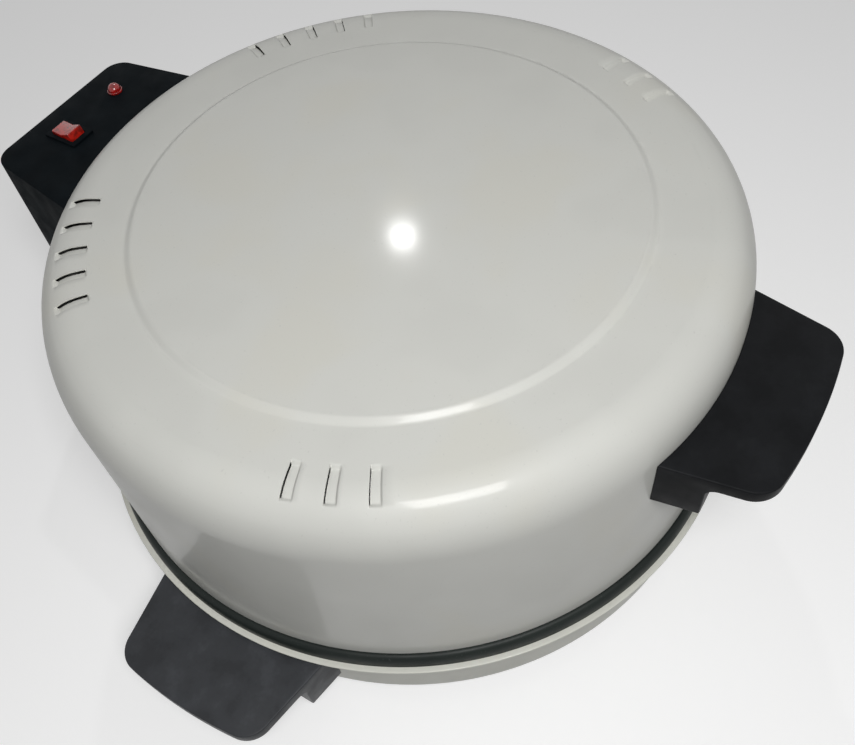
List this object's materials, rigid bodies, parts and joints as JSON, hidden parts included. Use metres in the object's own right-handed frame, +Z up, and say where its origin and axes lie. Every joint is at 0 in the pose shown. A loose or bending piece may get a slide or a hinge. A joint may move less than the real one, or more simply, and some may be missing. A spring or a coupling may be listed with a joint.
{
  "type": "electric pizza maker",
  "caption": "Round countertop pizza and flat bread maker with a tall hinged lid, black pan, side handles, rear switch and lamp.",
  "frame": {"origin": "middle of the whole footprint, on the surface that the feet stand on", "axes": "+Z up, -Y towards the lid handle at the front, +Y towards the hinge and the rear housings, side handles along X"},
  "size_m": [0.513, 0.527, 0.229],
  "materials": {
    "painted_steel": "glossy off-white stoved enamel paint",
    "handle_plastic": "satin moulded phenolic plastic",
    "housing_plastic": "satin moulded plastic",
    "nonstick_coating": "black non-stick coating with a low gloss",
    "aluminised_sheet": "bright aluminised sheet",
    "element_sheath": "heat-browned steel tube",
    "steel": "zinc plated",
    "foot_rubber": "matt moulded rubber",
    "ceramic": "unglazed steatite ceramic",
    "lead_sleeve": "braided glass-fibre sleeve",
    "red_lens": "translucent red"
  },
  "bodies": {
    "base": {"base_shell": "painted_steel", "base_reflector": "aluminised_sheet", "reflector_standoffs": "steel", "standoff_nuts": "steel", "lower_element": "element_sheath", "lower_element_terminals": "ceramic", "lower_element_clips": "steel", "thermostat": "ceramic", "thermal_fuse": "aluminised_sheet", "baking_pan": "nonstick_coating", "side_handle_left": "handle_plastic", "side_handle_right": "handle_plastic", "side_handle_screws": "steel", "foot_front_left": "foot_rubber", "foot_front_right": "foot_rubber", "foot_rear_left": "foot_rubber", "foot_rear_right": "foot_rubber", "foot_screws": "steel", "foot_nuts": "steel", "lower_rear_housing": "housing_plastic", "lower_rear_cover": "housing_plastic", "lower_housing_screws": "steel", "lower_cover_screws": "steel", "cord_inlet": "housing_plastic", "terminal_block": "ceramic", "earth_screw": "steel", "base_leads": "lead_sleeve", "hinge_bracket_base": "steel", "base_bracket_rivets": "steel", "hinge_pin": "steel", "hinge_pin_caps": "housing_plastic", "hinge_washers": "ceramic"},
    "lid": {"lid_shell": "painted_steel", "lid_reflector": "aluminised_sheet", "reflector_studs": "steel", "stud_nuts": "steel", "upper_element": "element_sheath", "upper_element_terminals": "ceramic", "upper_element_clips": "steel", "lid_handle": "handle_plastic", "lid_handle_screws": "steel", "rear_housing": "housing_plastic", "rear_housing_cover": "housing_plastic", "rear_housing_screws": "steel", "rear_cover_screws": "steel", "hinge_bracket_lid": "steel", "lid_bracket_rivets": "steel", "switch_body": "housing_plastic", "lamp_lens": "red_lens", "lamp_body": "housing_plastic", "lid_leads": "lead_sleeve"},
    "rocker": {"switch_rocker": "red_lens"}
  },
  "joints": [
    {"name": "lid_hinge", "type": "hinge", "parent": "base", "child": "lid", "pos_m": [0, 0.2495, 0.079], "axis": [-1, 0, 0], "range_deg": [0, 90]},
    {"name": "switch_rock", "type": "hinge", "parent": "lid", "child": "rocker", "pos_m": [-0.017, 0.2325, 0.192], "axis": [1, 0, 0], "range_deg": [0, 18]}
  ]
}
